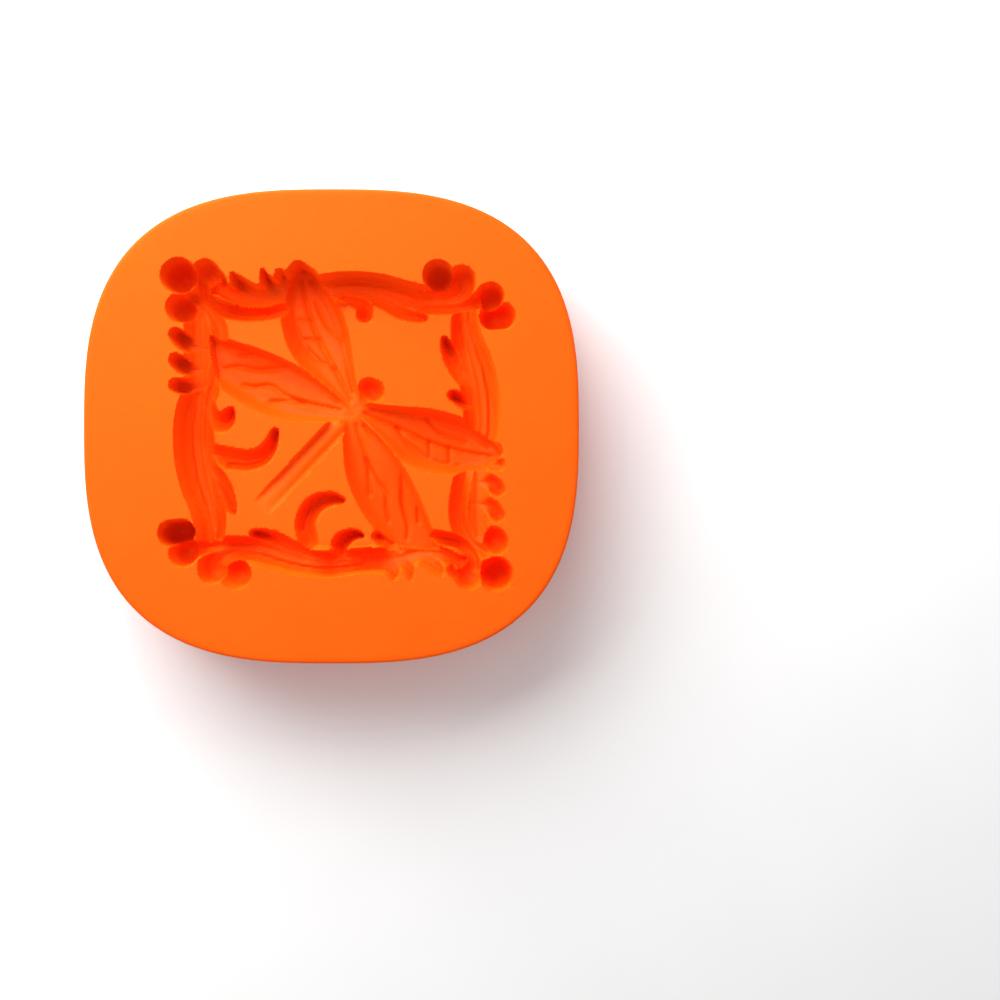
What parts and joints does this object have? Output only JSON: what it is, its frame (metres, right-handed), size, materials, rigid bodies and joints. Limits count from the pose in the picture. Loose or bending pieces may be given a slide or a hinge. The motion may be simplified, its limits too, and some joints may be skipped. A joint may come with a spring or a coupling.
{
  "type": "resin casting mould",
  "caption": "One-piece open silicone mould: a rounded-square slab whose cavity casts a flat-backed tile with a dragonfly in a scrolled square frame.",
  "frame": {"origin": "middle of the flat underside that the mould rests on", "axes": "+Z out of the cavity's open face, +X along the longer side, +Y towards the end that the upper wing tip points to"},
  "size_m": [0.096, 0.092, 0.025],
  "materials": {
    "silicone": "satin orange platinum-cure silicone rubber, slightly translucent, smooth off the pattern"
  },
  "bodies": {
    "root": {"mould_body": "silicone"}
  },
  "joints": []
}
